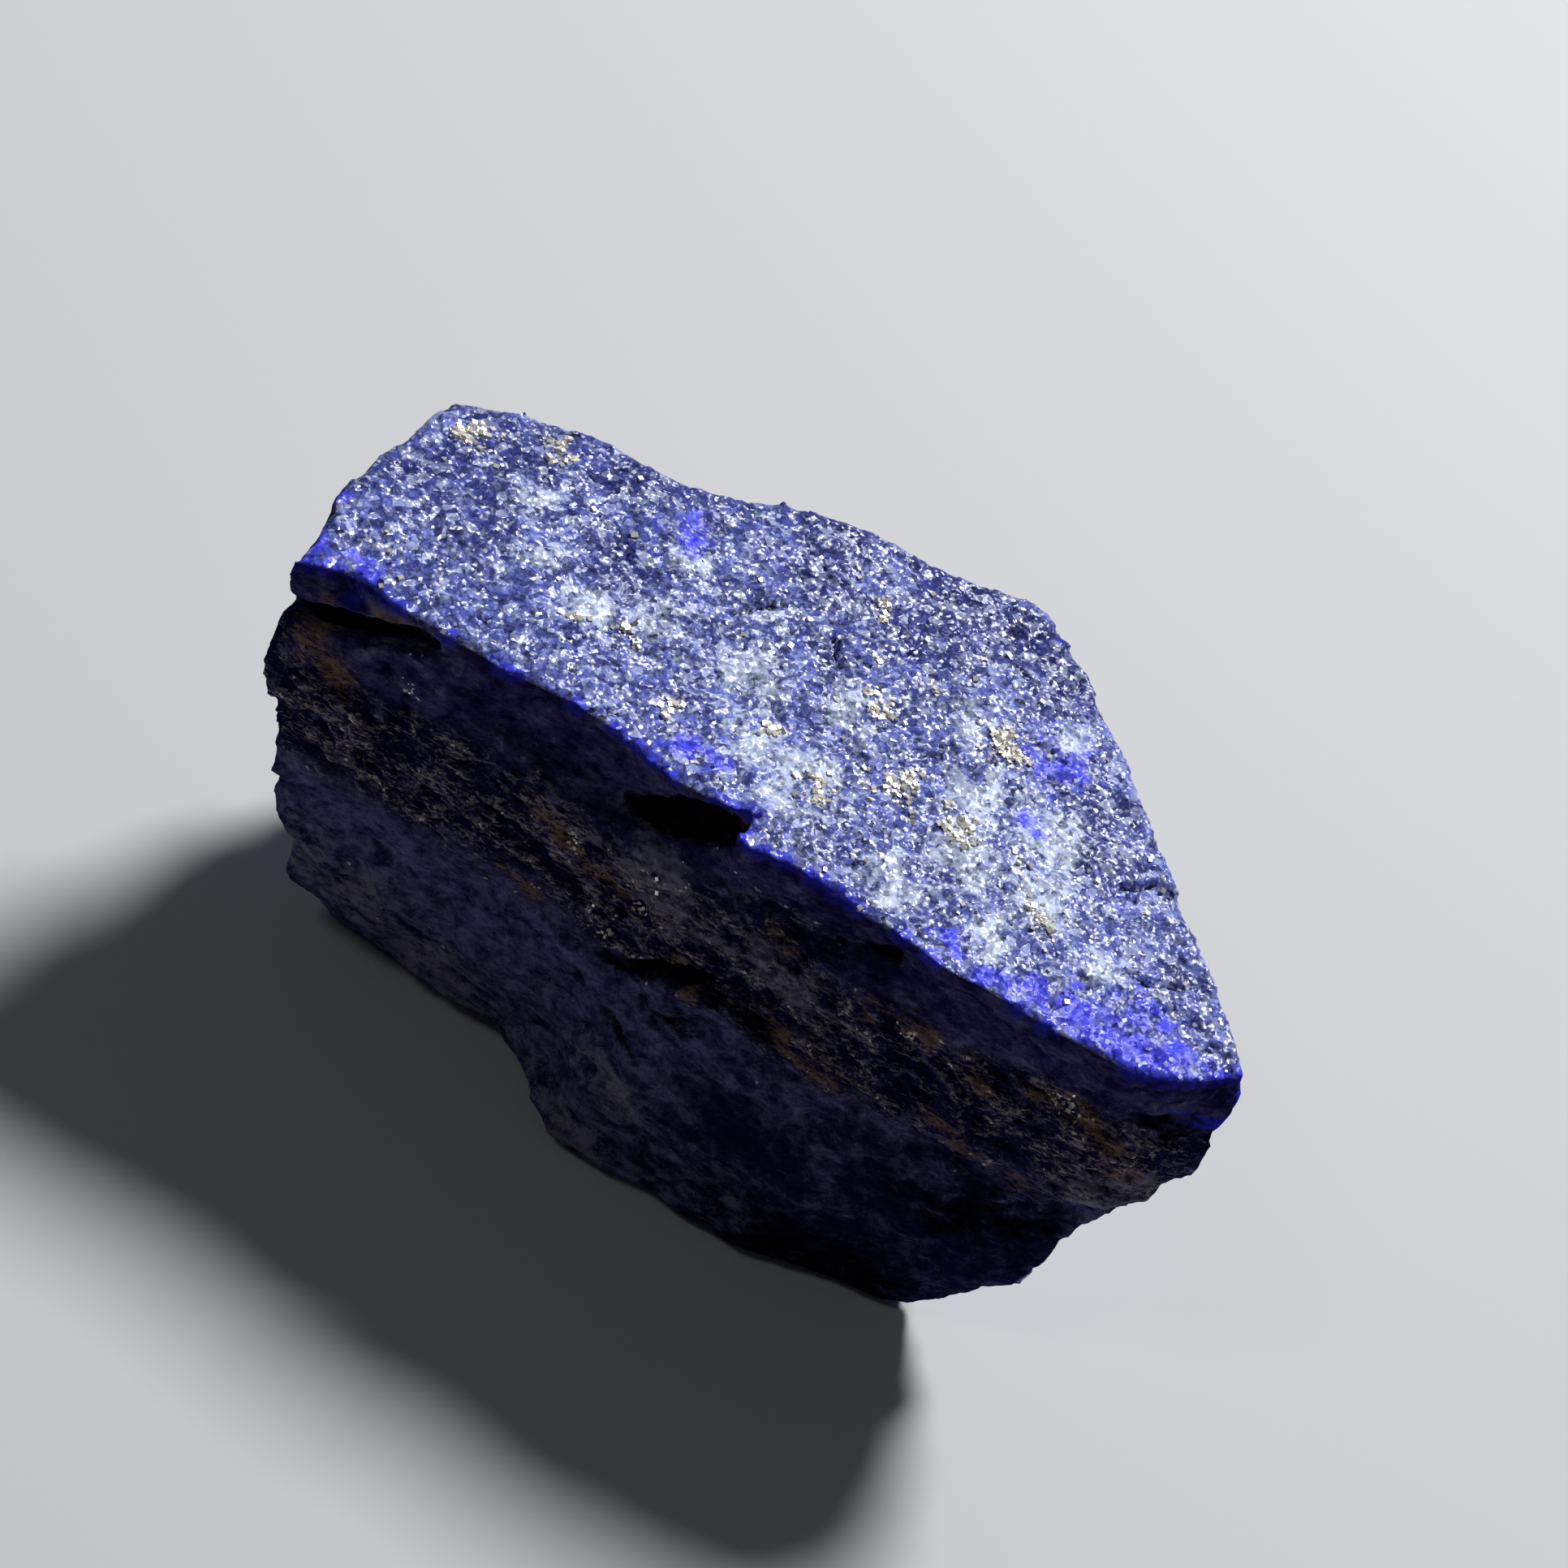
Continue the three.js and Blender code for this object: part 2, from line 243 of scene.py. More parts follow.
# Pyrite crystals: how many, their half size and forms, how much smaller they are on the front, how they lean,
# how they crowd to the middle of their patches, how thinly they lie elsewhere, and their gloss
PYRITE_COUNT = 1000
PYRITE_HALF = (0.05, 0.19)
PYRITE_STRETCH = (0.6, 1.4)
PYRITE_TAPER = 0.8
PYRITE_FLATNESS = 0.7
FRONT_SHRINK = 0.4
PYRITE_LEAN = 0.24
PATCH_POWER = 3
BRIGHT_POWER = 2
BRIGHT_SHARE = 0.12
STRAY_SHARE = 0.003
PYRITE_METAL = 0.6
PYRITE_ROUGHNESS = 0.34

# A crystal is a box: the corners of its rings, the level and the width of its foot and its top ring, and its
# faces by the numbers of their corners
CRYSTAL_RING = [(-1, -1), (1, -1), (1, 1), (-1, 1)]
CRYSTAL_LEVELS = [(-1, 1.0), (1, PYRITE_TAPER)]
CRYSTAL_FACES = [(0, 3, 2, 1), (4, 5, 6, 7), (0, 1, 5, 4), (1, 2, 6, 5), (2, 3, 7, 6), (3, 0, 4, 7)]

# Grains that glint: their sizes, the size and wander of the seams between them, how far they lean, and the
# gloss of each side. The fresh break is duller where it is ultramarine.
COARSE_GRAIN = 0.5
FINE_GRAIN = 0.2
SEAM_GRAIN = 0.55
SEAM_WANDER = 0.5
FRESH_LEAN = 0.5
WEATHERED_LEAN = 0.35
FRESH_ROUGHNESS = (0.28, 0.45)
FRESH_SPECULAR = 0.4
WEATHERED_ROUGHNESS = 0.6
WEATHERED_SPECULAR = 0.0

# Colours, linear: of the fresh break, of the weathered front and of the rest
MID_BLUE = (0.155, 0.195, 0.7, 1)
DULL_BLUE = (0.05, 0.066, 0.31, 1)
ULTRAMARINE = (0.06, 0.07, 0.95, 1)
NAVY = (0.03, 0.036, 0.11, 1)
DUSK_BLUE = (0.036, 0.045, 0.24, 1)
CALCITE = (0.62, 0.72, 0.95, 1)
CREAM = (0.66, 0.64, 0.54, 1)
# Deep blue of the painted glow along the ridge, also of the blue patches at the right tip
FRINGE_BLUE = (0.02, 0.02, 0.4, 1)
# Black of painted shadow and painted shade
SHADOW_BLACK = (0.002, 0.002, 0.006, 1)
NIGHT_BLUE = (0.006, 0.005, 0.035, 1)
DEEP_BLUE = (0.02, 0.018, 0.075, 1)
LAVENDER_GREY = (0.14, 0.134, 0.29, 1)
INDIGO = (0.011, 0.009, 0.062, 1)
DUSTY = (0.09, 0.085, 0.2, 1)
FIBRE_GREY = (0.4, 0.35, 0.35, 1)
PALE_GREY = (0.2, 0.19, 0.24, 1)
RUST = (0.18, 0.115, 0.08, 1)
# Colour of painted glints
PAINTED_GLINT = (0.6, 0.56, 0.5, 1)
PYRITE = (1.0, 0.97, 0.88, 1)
FLOOR = (0.6, 0.61, 0.62, 1)
SKY = (0.85, 0.9, 1.0, 1)

# The middle of random colours. It is taken from one that is used as a push, so that the push goes any way.
MIDDLE = (0.5, 0.5, 0.5)

# Places of the sockets that a Mix node uses for colours, as its other sockets have the same names
MIX_FACTOR = 0
MIX_FIRST = 6
MIX_SECOND = 7
MIX_RESULT = 2


class Texture(NamedTuple):
    """Cloudy noise: the size of its largest clouds, and how it is drawn out, roughened and swirled."""
    size: float
    stretch: float = 1.0
    detail: float = 5.0
    roughness: float = 0.6
    swirl: float = 0.0


class Layer(NamedTuple):
    """A colour that comes in over a span of a texture, where a field of the surface adds to the texture."""
    colour: tuple
    texture: str
    span: tuple
    field: str = ""
    weight: float = 0.0
    share: float = 1.0


# Textures of the stone, and the layers of colour of each side and zone, each over the one before
TEXTURES = {
    "cloud": Texture(3.2, swirl=0.6),
    "mottle": Texture(1.2, swirl=0.5),
    "veil": Texture(1.0, detail=6.0, roughness=0.7, swirl=1.4),
    "wisp": Texture(0.5, roughness=0.65, swirl=0.8),
    "wool": Texture(1.1, stretch=1.5, detail=7.0, roughness=0.78, swirl=0.3),
    "fibre": Texture(0.17, stretch=3.0, roughness=0.75, swirl=0.1),
}
FRESH_LAYERS = [
    Layer(MID_BLUE, "mottle", (0.34, 0.6)),
    Layer(NAVY, "mottle", (0.42, 0.28), share=0.6),
    Layer(NAVY, "seam", (0.14, 0.0), share=0.7),
    Layer(DUSK_BLUE, "cloud", (0.55, 0.85), "dark", 0.35),
    Layer(CALCITE, "veil", (0.53, 0.73), "calcite", 0.22),
    Layer(CALCITE, "wisp", (0.55, 0.75), "calcite", 0.1),
    Layer(CREAM, "wisp", (0.7, 0.9), "pyrite", 0.3),
    Layer(RUST, "wisp", (0.66, 0.9), "rust", 0.3, 0.7),
    # Painted glow: saturated blue along the ridge
    Layer(ULTRAMARINE, "wisp", (0.7, 1.0), "ridge_glow", 0.5),
    Layer(CALCITE, "coarse", (0.7, 1.0), share=0.35),
    Layer(NAVY, "coarse", (0.3, 0.0), share=0.35),
    Layer(ULTRAMARINE, "mottle", (0.6, 0.9), "ultramarine", 0.42),
    # Painted shade: dark blue in the open cracks
    Layer(NIGHT_BLUE, "wisp", (0.8, 1.15), "crack", 0.8),
    Layer(CALCITE, "fine", (0.95, 0.98), "calcite", 0.05, 0.8),
]
FOOT_LAYERS = [
    Layer(LAVENDER_GREY, "wool", (0.36, 0.68)),
    Layer(NIGHT_BLUE, "mottle", (0.5, 0.25), share=0.7),
    Layer(NIGHT_BLUE, "fibre", (0.45, 0.3)),
]
STRIP_LAYERS = [
    Layer(DUSTY, "wool", (0.38, 0.76)),
    Layer(NIGHT_BLUE, "fibre", (0.4, 0.28)),
]
BAND_LAYERS = [
    Layer(LAVENDER_GREY, "wool", (0.5, 0.85), share=0.7),
    # Grey fibres, lighter on the crests as painted light
    Layer(FIBRE_GREY, "fibre", (0.58, 0.86), "crest", 0.17),
]
FRONT_LAYERS = [
    Layer(PALE_GREY, "wool", (0.55, 0.85), "pale", 0.2),
    Layer(RUST, "fibre", (0.62, 0.85), "rust", 0.3),
    # Painted shade: black in the hollows between crests
    Layer(SHADOW_BLACK, "wool", (0.58, 0.38), "crest", 0.4, 0.85),
    # Painted glints at the bright spots
    Layer(PAINTED_GLINT, "fine", (1.1, 1.15), "bright", 0.35),
    # Painted glints on the highest crests
    Layer(PAINTED_GLINT, "fine", (1.24, 1.28), "crest", 0.33),
    # Painted glow: deep blue along the ridge
    Layer(FRINGE_BLUE, "wool", (0.6, 1.1), "ridge_glow", 0.5),
    Layer(FRINGE_BLUE, "wool", (0.55, 1.0), "blue", 0.5),
    # Painted shade: dark blue at the listed patches
    Layer(NIGHT_BLUE, "wool", (0.55, 0.0), "painted_shade", -0.45),
    # Painted shadow: black at the listed patches
    Layer(SHADOW_BLACK, "wool", (0.48, 0.05), "painted_shadow", -0.42),
    # Painted shade: black in the front's recesses
    Layer(SHADOW_BLACK, "wool", (0.3, 0.0), "recess_shade", -0.5),
]


def smoothstep(value, low, high):
    """Rises smoothly from 0 at low to 1 at high."""
    share = np.clip((value - low) / (high - low), 0, 1)
    return share * share * (3 - 2 * share)


def noise_at(points, size, shift=0.0):
    """Smooth noise from -1 to 1 at each point. size is the length of a lump, or one along each axis."""
    return np.array([noise.noise(Vector(p)) for p in points / np.asarray(size) + shift])


def lumps(points, layers, shift=0.0):
    """Smooth lumps of several sizes."""
    return sum(height * noise_at(points, (along, across, across), shift) for along, across, height in layers)


def crests(points, layers):
    """Sharp crests of several sizes."""
    layered = [(height, noise_at(points, (along, across, across))) for along, across, height in layers]
    return sum(height * (CREST_LINE - CREST_FALL * np.abs(level)) for height, level in layered)


def grains(points, layers):
    """Rounded grains of several sizes, each at a level of its own."""
    relief = np.zeros(len(points))
    for size, height in layers:
        for i, point in enumerate(points / size):
            distances, seeds = noise.voronoi(Vector(point))
            level = noise.noise(seeds[0] * NEXT_NOISE)
            inside = min(distances[1] - distances[0], GRAIN_RIM)
            relief[i] += height * (level + GRAIN_ROUNDING * inside)
    return relief


def vertex_vectors(mesh, name):
    """A vector of each vertex by its name: co is its place, and normal is the way it faces."""
    values = np.empty(len(mesh.vertices) * 3, np.float32)
    mesh.vertices.foreach_get(name, values)
    return values.reshape(-1, 3).astype(float)


def corners_of(mesh):
    """The three vertices of each triangle."""
    values = np.empty(len(mesh.loops), np.int32)
    mesh.loops.foreach_get("vertex_index", values)
    return values.reshape(-1, 3)


def flat(across, along):
    """Points in a plane, from their coordinates in it."""
    return np.column_stack([across, along, np.zeros(len(across))])


def frayed(places):
    """Places pushed about by noise, so that what is drawn by them has frayed edges."""
    pushed = places.copy()
    for size, reach in FRAYS:
        for axis in range(places.shape[1]):
            pushed[:, axis] += reach * noise_at(places, size, NEXT_NOISE * axis)
    return pushed


def patches(places, spots):
    """How far into the nearest patch each place is, from 0 outside to 1 in its middle."""
    depth = np.zeros(len(places))
    for middle_across, middle_along, radius in spots:
        distance = np.hypot(places[:, 0] - middle_across, places[:, 1] - middle_along)
        depth = np.maximum(depth, np.exp(-(distance / radius) ** 2))
    return depth


def along_layers(x, z):
    """Coordinates along and across the layers of the front, which draw marks out along them."""
    return x / STREAK, z + DIP * x


def front_patches(places, spots):
    """How far into the nearest mark of the front each place is. Places are along and across the layers."""
    return patches(places, [(*along_layers(x, z), radius) for x, z, radius in spots])


def open_cracks(points):
    """How far into an open crack of the top face each point is, from 0 outside to 1 in its middle."""
    size, reach = CRACK_WANDER
    wander = reach * noise_at(points, size)
    depth = np.zeros(len(points))
    for start, end in CRACKS:
        start = np.array(start)
        line = np.array(end) - start
        length = np.hypot(*line)
        line = line / length
        offset = points[:, :2] - start
        along = offset @ line
        across = np.abs(offset @ np.array((-line[1], line[0])) + wander)
        inside = smoothstep(along, 0, CRACK_END) * (1 - smoothstep(along, length - CRACK_END, length))
        depth = np.maximum(depth, inside * (1 - smoothstep(across, 0, CRACK_WIDTH)))
    return depth


def under_top(points):
    """Depth of each point under the plane of the top face."""
    return RIDGE_HEIGHT + (points[:, 1] - RIDGE_Y) * math.tan(TOP_TILT) - points[:, 2]


def remeshed(node, cell, rounds):
    """A copy of a CAD node's mesh in millimetres, with even cells and softened corners."""
    mesh = frame["nodes"][node].data.copy()
    mesh.transform(Matrix.Scale(1 / MM, 4))
    holder = bpy.data.objects.new("surface_draft", mesh)
    bpy.context.scene.collection.objects.link(holder)
    remesh = holder.modifiers.new("even_cells", "REMESH")
    remesh.mode = "VOXEL"
    remesh.voxel_size = cell
    smooth = holder.modifiers.new("soft_corners", "SMOOTH")
    smooth.factor = SOFTENING
    smooth.iterations = rounds
    evaluated = holder.evaluated_get(bpy.context.evaluated_depsgraph_get())
    even = bpy.data.meshes.new_from_object(evaluated)
    bpy.data.objects.remove(holder)
    bpy.data.meshes.remove(mesh)
    return even


def refine(mesh):
    """Halves the cells of the top and the front, and joins those of the flat underside."""
    shape = bmesh.new()
    shape.from_mesh(mesh)
    shape.normal_update()
    edges = set()
    for face in shape.faces:
        if face.normal.z > TOP_SLOPE[0] or -face.normal.y > FRONT_SLOPE[0]:
            edges.update(face.edges)
    bmesh.ops.subdivide_edges(shape, edges=list(edges), cuts=1, use_grid_fill=True)
    underside = [face for face in shape.faces if max(vert.co.z for vert in face.verts) < FLAT_HEIGHT]
    bmesh.ops.dissolve_faces(shape, faces=underside, use_verts=True)
    bmesh.ops.triangulate(shape, faces=shape.faces[:])
    shape.to_mesh(mesh)
    shape.free()


def broad_side(points):
    """Which way the stone faces at each point and how deep the point lies, going by the broad copy."""
    broad = remeshed("lapis_stone", BROAD_CELL, BROAD_ROUNDS)
    tree = BVHTree.FromPolygons([v.co for v in broad.vertices], [f.vertices for f in broad.polygons])
    facing = np.empty_like(points)
    depths = np.empty(len(points))
    for i, point in enumerate(points):
        place, normal, _, _ = tree.find_nearest(Vector(point))
        facing[i] = normal
        depths[i] = (place - Vector(point)).dot(normal)
    return facing, depths


def distances_to(points, chosen):
    """Distance from each point to the nearest of the chosen ones."""
    tree = KDTree(int(chosen.sum()))
    for i, point in enumerate(points[chosen]):
        tree.insert(point, i)
    tree.balance()
    distances = np.empty(len(points))
    for i, point in enumerate(points):
        _, _, distances[i] = tree.find(point)
    return distances


def front_relief(points, band):
    """Thin ledges and fibres along the layers of the weathered side, roughest in its band."""
    layered = points.copy()
    layered[:, 2] += DIP * points[:, 0]
    level = layered[:, 2] + lumps(layered, LEDGE_WANDER)
    step = (level / LEDGE_SPACING) % 1.0
    ledges = smoothstep(lumps(layered, LEDGE_PLACES, NEXT_NOISE), *LEDGE_SHARE)
    profile = smoothstep(step, 0, LEDGE_DROP) - smoothstep(step, LEDGE_DROP, 1) - LEDGE_MIDDLE
    rough = ledges * LEDGE_HEIGHT * profile + crests(layered, BAND_CRESTS)
    return lumps(layered, WOOL_LUMPS) + band * rough


def top_relief(points, cracks):
    """Sugary grains and shallow hackles of the fresh break, and its cracks."""
    return grains(points, TOP_GRAINS) + lumps(points, TOP_LUMPS) - CRACK_DEPTH * cracks


def side_relief(points):
    """Hackly break of the back and the ends, which starts a little under the top."""
    rough = lumps(points, SIDE_LUMPS) + crests(points, SIDE_CRESTS)
    return grains(points, SIDE_GRAINS) + rough * smoothstep(under_top(points), *SIDE_MARGIN)


def add_attribute(mesh, name, values):
    """Stores a value for each vertex, which the materials read by its name."""
    mesh.attributes.new(name, "FLOAT", "POINT").data.foreach_set("value", values.astype(np.float32))


def add_piece(name, mesh):
    """Puts a mesh into the scene as a piece of the stone."""
    piece = bpy.data.objects.new(name, mesh)
    bpy.context.scene.collection.objects.link(piece)
    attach(piece, "root")
    return piece


def sides_of(points, normals):
    """Shares of the top, the front and the other sides at each point, and what else depends on its place."""
    facing, depths = broad_side(points)
    weathered = np.abs(facing[:, 0]) * ENDS_SHARE - facing[:, 1]
    top = smoothstep(normals[:, 2], *TOP_SLOPE) * (1 - smoothstep(under_top(points), *TOP_DEPTH))
    front = smoothstep(weathered, *FRONT_SLOPE) * (1 - top)
    level = points[:, 2] + lumps(points, ZONE_WANDER)
    rim = top * (1 - top) * (-facing[:, 1] > FRONT_SLOPE[0])
    ridge_distance = distances_to(points, rim > RIDGE_EDGE)
    return {
        "top": top,
        "front": front,
        "side": (1 - top) * (1 - front),
        "low": 1 - smoothstep(level, *BAND_FOOT),
        "high": smoothstep(level, *BAND_TOP),
        "rough": smoothstep(-facing[:, 1], *BAND_SLOPE),
        # Painted shade of the front's recesses, which lie deep under the broad copy
        "recess_shade": front * smoothstep(depths, *RECESS_SHADE_DEPTH),
        # Painted glow, which fades with the distance from the ridge
        "ridge_glow": 1 - smoothstep(ridge_distance, *RIDGE_GLOW_REACH),
    }


def minerals_of(points, sides):
    """How much of each mineral or stain there is at each point."""
    x, y, z = points.T
    layered = flat(*along_layers(x, z))
    on_top = frayed(flat(x, y))
    on_front = frayed(layered)
    on_sides = frayed(points)
    marks = {"bright": sides["front"] * front_patches(layered, BRIGHT_SPOTS)}
    for mark, spots in TOP_PATCHES.items():
        marks[mark] = sides["top"] * patches(on_top, spots)
    for mark, spots in FRONT_PATCHES.items():
        marks[mark] = sides["front"] * front_patches(on_front, spots)
    for i, (mark, (size, span)) in enumerate(SIDE_MINERALS.items(), start=1):
        marks[mark] += sides["side"] * smoothstep(noise_at(on_sides, size, NEXT_NOISE * i), *span)
    return marks


def stone_piece():
    """The stone's surface, in place of its solid."""
    mesh = remeshed("lapis_stone", CELL, CELL_ROUNDS)
    refine(mesh)
    points = vertex_vectors(mesh, "co")
    normals = vertex_vectors(mesh, "normal")
    sides = sides_of(points, normals)
    fields = {**sides, **minerals_of(points, sides)}
    band = sides["rough"] * (1 - SMOOTH_SHARE * np.maximum(sides["low"], sides["high"]))
    fibres = front_relief(points, band)
    # Painted light on crests and painted shade between them follow the height of the relief
    fields["crest"] = smoothstep(fibres, *CREST_SHADING_SPAN)
    fields["crack"] = sides["top"] * open_cracks(points)
    relief = sides["top"] * top_relief(points, fields["crack"])
    relief += sides["side"] * side_relief(points)
    relief += sides["front"] * fibres
    points += normals * (relief * smoothstep(points[:, 2], *FLAT_MARGIN))[:, None]
    mesh.vertices.foreach_set("co", (points * MM).astype(np.float32).ravel())
    for name, values in fields.items():
        add_attribute(mesh, name, values)
    mesh.update()
    mesh.shade_smooth()
    piece = add_piece("lapis_surface", mesh)
    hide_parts("lapis_stone")
    mesh.materials.clear()
    mesh.materials.append(fresh_material())
    mesh.materials.append(weathered_material())
    weathered = sides["front"][corners_of(mesh)].mean(axis=1) > MOSTLY
    mesh.polygons.foreach_set("material_index", weathered.astype(np.int32))
    return mesh, fields


def unit(vectors):
    """Vectors of length 1 that point the same ways."""
    return vectors / np.linalg.norm(vectors, axis=1)[:, None]


def pyrite_piece(stone, fields):
    """Small pyrite crystals half sunk in the stone, thick in the patches and thin between them."""
    random = np.random.default_rng(SEED)
    count = PYRITE_COUNT
    points = vertex_vectors(stone, "co")
    normals = vertex_vectors(stone, "normal")
    likely = fields["pyrite"] ** PATCH_POWER + BRIGHT_SHARE * fields["bright"] ** BRIGHT_POWER
    likely += STRAY_SHARE * fields["top"]
    likely *= smoothstep(points[:, 2] / MM, *FLAT_MARGIN)
    spots = random.choice(len(points), count, p=likely / likely.sum())
    up = unit(normals[spots] + random.normal(0, PYRITE_LEAN, (count, 3)))
    along = unit(np.cross(up, random.normal(0, 1, (count, 3))))
    across = np.cross(up, along)
    shrink = 1 - FRONT_SHRINK * fields["front"][spots]
    half = MM * random.uniform(*PYRITE_HALF, (count, 1)) * shrink[:, None]
    stretch = random.uniform(*PYRITE_STRETCH, (count, 1))
    corners = []
    for level, width in CRYSTAL_LEVELS:
        for a, b in CRYSTAL_RING:
            offset = half * width * (a * stretch * along + b * across)
            corners.append(points[spots] + offset + level * PYRITE_FLATNESS * half * up)
    places = np.stack(corners, axis=1).reshape(-1, 3)
    first_corners = len(corners) * np.arange(count)
    faces = (np.array(CRYSTAL_FACES) + first_corners[:, None, None]).reshape(-1, len(CRYSTAL_RING))
    mesh = bpy.data.meshes.new("pyrite_grains")
    mesh.from_pydata(places.tolist(), [], faces.tolist())
    mesh.materials.append(pyrite_material())
    add_piece("pyrite_grains", mesh)


class Shader:
    """One material's nodes. A method that makes a value returns its socket."""

    def __init__(self, name):
        self.material = bpy.data.materials.new(name)
        self.material.use_nodes = True
        self.tree = self.material.node_tree
        self.surface = self.tree.nodes["Principled BSDF"]

    def add(self, kind, settings=None, **inputs):
        """A new node, with its settings and with values or sockets for its inputs."""
        node = self.tree.nodes.new("ShaderNode" + kind)
        for name, value in (settings or {}).items():
            setattr(node, name, value)
        for name, value in inputs.items():
            self.put(node.inputs[name.replace("_", " ")], value)
        return node

    def put(self, socket, value):
        """Sets a socket to a value or links it to another socket."""
        if isinstance(value, bpy.types.NodeSocket):
            self.tree.links.new(value, socket)
        else:
            socket.default_value = value

    def set(self, **inputs):
        """Sets or links inputs of the surface shader."""
        for name, value in inputs.items():
            self.put(self.surface.inputs[name.replace("_", " ")], value)

    def field(self, name):
        """A field that the mesh stores for each vertex."""
        return self.add("Attribute", {"attribute_name": name}).outputs["Fac"]

    def vector(self, operation, first, second=None):
        node = self.add("VectorMath", {"operation": operation})
        self.put(node.inputs[0], first)
        if second is not None:
            self.put(node.inputs["Scale"] if operation == "SCALE" else node.inputs[1], second)
        return node.outputs["Vector"]

    def math(self, operation, first, second):
        node = self.add("Math", {"operation": operation})
        self.put(node.inputs[0], first)
        self.put(node.inputs[1], second)
        return node.outputs["Value"]

    def span(self, value, source, target=(0.0, 1.0)):
        """Turns a span of a value smoothly into another one."""
        node = self.add("MapRange", {"interpolation_type": "SMOOTHSTEP"}, Value=value)
        node.inputs["From Min"].default_value, node.inputs["From Max"].default_value = source
        node.inputs["To Min"].default_value, node.inputs["To Max"].default_value = target
        return node.outputs["Result"]

    def mix(self, factor, first, second):
        node = self.add("Mix", {"data_type": "RGBA"})
        self.put(node.inputs[MIX_FACTOR], factor)
        self.put(node.inputs[MIX_FIRST], first)
        self.put(node.inputs[MIX_SECOND], second)
        return node.outputs[MIX_RESULT]

    def place(self):
        """Place on the stone in millimetres."""
        return self.vector("SCALE", self.add("TexCoord").outputs["Object"], 1 / MM)

    def clouds(self, place, texture):
        """Level of a cloudy texture, drawn out along the layers of the stone."""
        mapping = self.add("Mapping", Vector=place)
        mapping.inputs["Rotation"].default_value = (0, math.atan(DIP), 0)
        mapping.inputs["Scale"].default_value = (1 / texture.stretch, 1, 1)
        clouds = self.add("TexNoise", Vector=mapping.outputs["Vector"], Scale=1 / texture.size)
        clouds.inputs["Detail"].default_value = texture.detail
        clouds.inputs["Roughness"].default_value = texture.roughness
        clouds.inputs["Distortion"].default_value = texture.swirl
        return clouds.outputs["Fac"]

    def grains(self, place, size):
        """A random colour for each grain."""
        return self.add("TexVoronoi", Vector=place, Scale=1 / size).outputs["Color"]

    def seams(self, place):
        """Distance to the wandering seams between grains, in shares of a grain."""
        noise_colour = self.add("TexNoise", Vector=place, Scale=1 / SEAM_GRAIN).outputs["Color"]
        wander = self.vector("SCALE", self.vector("SUBTRACT", noise_colour, MIDDLE), SEAM_WANDER)
        pushed = self.vector("ADD", place, wander)
        cells = self.add("TexVoronoi", {"feature": "DISTANCE_TO_EDGE"}, Vector=pushed, Scale=1 / SEAM_GRAIN)
        return cells.outputs["Distance"]

    def paint(self, body, layers, textures):
        """A colour with layers of others over it."""
        for layer in layers:
            amount = textures[layer.texture]
            if layer.field:
                more = self.math("MULTIPLY", self.field(layer.field), layer.weight)
                amount = self.math("ADD", amount, more)
            body = self.mix(self.span(amount, layer.span, (0.0, layer.share)), body, layer.colour)
        return body


def stone_shader(name, lean):
    """A material with the stone's colours, whose grains lean their own way and so glint one by one."""
    shader = Shader(name)
    place = shader.place()
    coarse = shader.grains(place, COARSE_GRAIN)
    fine = shader.grains(place, FINE_GRAIN)
    textures = {key: shader.clouds(place, texture) for key, texture in TEXTURES.items()}
    textures["coarse"] = shader.add("SeparateColor", Color=coarse).outputs["Red"]
    textures["fine"] = shader.add("SeparateColor", Color=fine).outputs["Red"]
    textures["seam"] = shader.seams(place)
    fresh = shader.paint(DULL_BLUE, FRESH_LAYERS, textures)
    band = shader.paint(NIGHT_BLUE, BAND_LAYERS, textures)
    strip = shader.paint(INDIGO, STRIP_LAYERS, textures)
    foot = shader.paint(DEEP_BLUE, FOOT_LAYERS, textures)
    zones = shader.mix(shader.field("low"), shader.mix(shader.field("high"), band, strip), foot)
    weathered = shader.paint(zones, FRONT_LAYERS, textures)
    shader.set(Base_Color=shader.mix(shader.field("front"), fresh, weathered))
    coarse_tilt = shader.vector("SUBTRACT", coarse, MIDDLE)
    fine_tilt = shader.vector("SUBTRACT", fine, MIDDLE)
    tilt = shader.vector("SCALE", shader.vector("ADD", coarse_tilt, fine_tilt), lean)
    flake = shader.vector("ADD", shader.add("NewGeometry").outputs["Normal"], tilt)
    shader.set(Normal=shader.vector("NORMALIZE", flake))
    return shader


def fresh_material():
    """The glittering break of the top, the back and the ends."""
    shader = stone_shader("lapis_fresh", FRESH_LEAN)
    shader.set(Roughness=shader.span(shader.field("ultramarine"), (0.0, 1.0), FRESH_ROUGHNESS))
    shader.set(Specular_IOR_Level=FRESH_SPECULAR)
    return shader.material


def weathered_material():
    """The dull front."""
    shader = stone_shader("lapis_weathered", WEATHERED_LEAN)
    shader.set(Roughness=WEATHERED_ROUGHNESS, Specular_IOR_Level=WEATHERED_SPECULAR)
    return shader.material


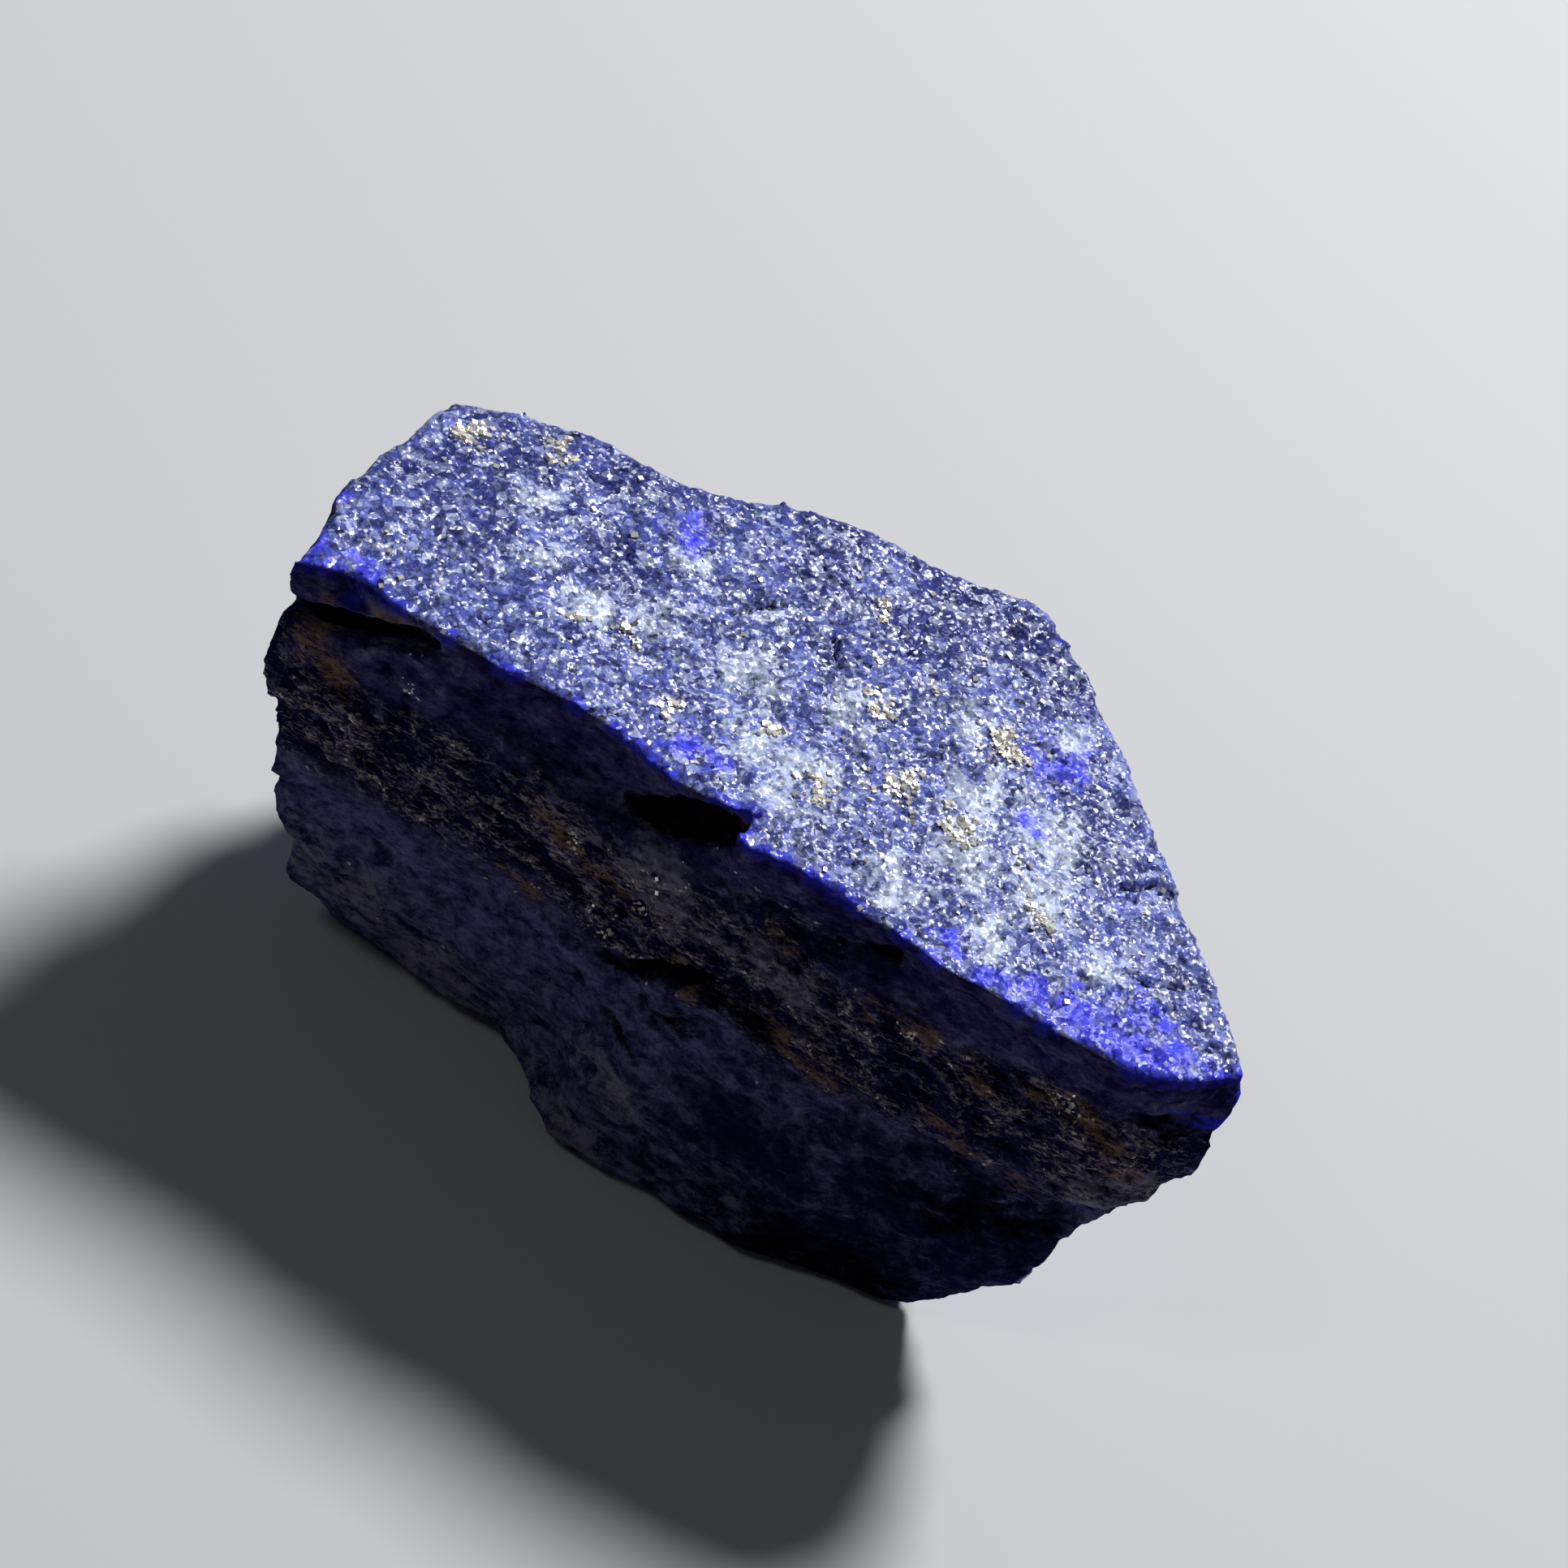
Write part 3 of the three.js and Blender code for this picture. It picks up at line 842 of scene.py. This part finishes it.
def pyrite_material():
    """Pale, half metallic crystals."""
    shader = Shader("pyrite")
    shader.set(Base_Color=PYRITE, Metallic=PYRITE_METAL, Roughness=PYRITE_ROUGHNESS)
    return shader.material


def camera():
    """The camera of the photo."""
    look = Vector((0, math.cos(ELEVATION), -math.sin(ELEVATION)))
    turn = look.to_track_quat("-Z", "Y").to_matrix().to_4x4() @ Matrix.Rotation(ROLL, 4, "Z")
    data = bpy.data.cameras.new("camera")
    data.lens = LENS
    data.sensor_width = SENSOR
    data.clip_start = DISTANCE * CLIP_SHARE
    holder = bpy.data.objects.new("camera", data)
    holder.matrix_world = Matrix.Translation(AIM - look * DISTANCE) @ turn
    bpy.context.scene.collection.objects.link(holder)
    bpy.context.scene.camera = holder


def lamp(name, direction, distance, width, power):
    """A round lamp that shines on the stone."""
    data = bpy.data.lights.new(name, "AREA")
    data.shape = "DISK"
    data.size = width
    data.energy = power
    holder = bpy.data.objects.new(name, data)
    outward = Vector(direction).normalized()
    holder.location = AIM + outward * distance
    holder.rotation_euler = outward.to_track_quat("Z", "Y").to_euler()
    bpy.context.scene.collection.objects.link(holder)


def floor():
    """A plain pale floor under the stone."""
    mesh = bpy.data.meshes.new("floor")
    half = FLOOR_HALF
    corners = [(-half, -half, 0), (half, -half, 0), (half, half, 0), (-half, half, 0)]
    mesh.from_pydata(corners, [], [tuple(range(len(corners)))])
    shader = Shader("pale_floor")
    shader.set(Base_Color=FLOOR, Roughness=FLOOR_ROUGHNESS)
    mesh.materials.append(shader.material)
    holder = bpy.data.objects.new("floor", mesh)
    bpy.context.scene.collection.objects.link(holder)


def world():
    """A faint even sky."""
    scene = bpy.context.scene
    scene.world = bpy.data.worlds.new("studio")
    scene.world.use_nodes = True
    back = scene.world.node_tree.nodes["Background"]
    back.inputs["Color"].default_value = SKY
    back.inputs["Strength"].default_value = SKY_STRENGTH
    scene.view_settings.view_transform = "Standard"


camera()
floor()
world()
lamp("key", **KEY)
lamp("fill", **FILL)
stone_mesh, stone_fields = stone_piece()
pyrite_piece(stone_mesh, stone_fields)
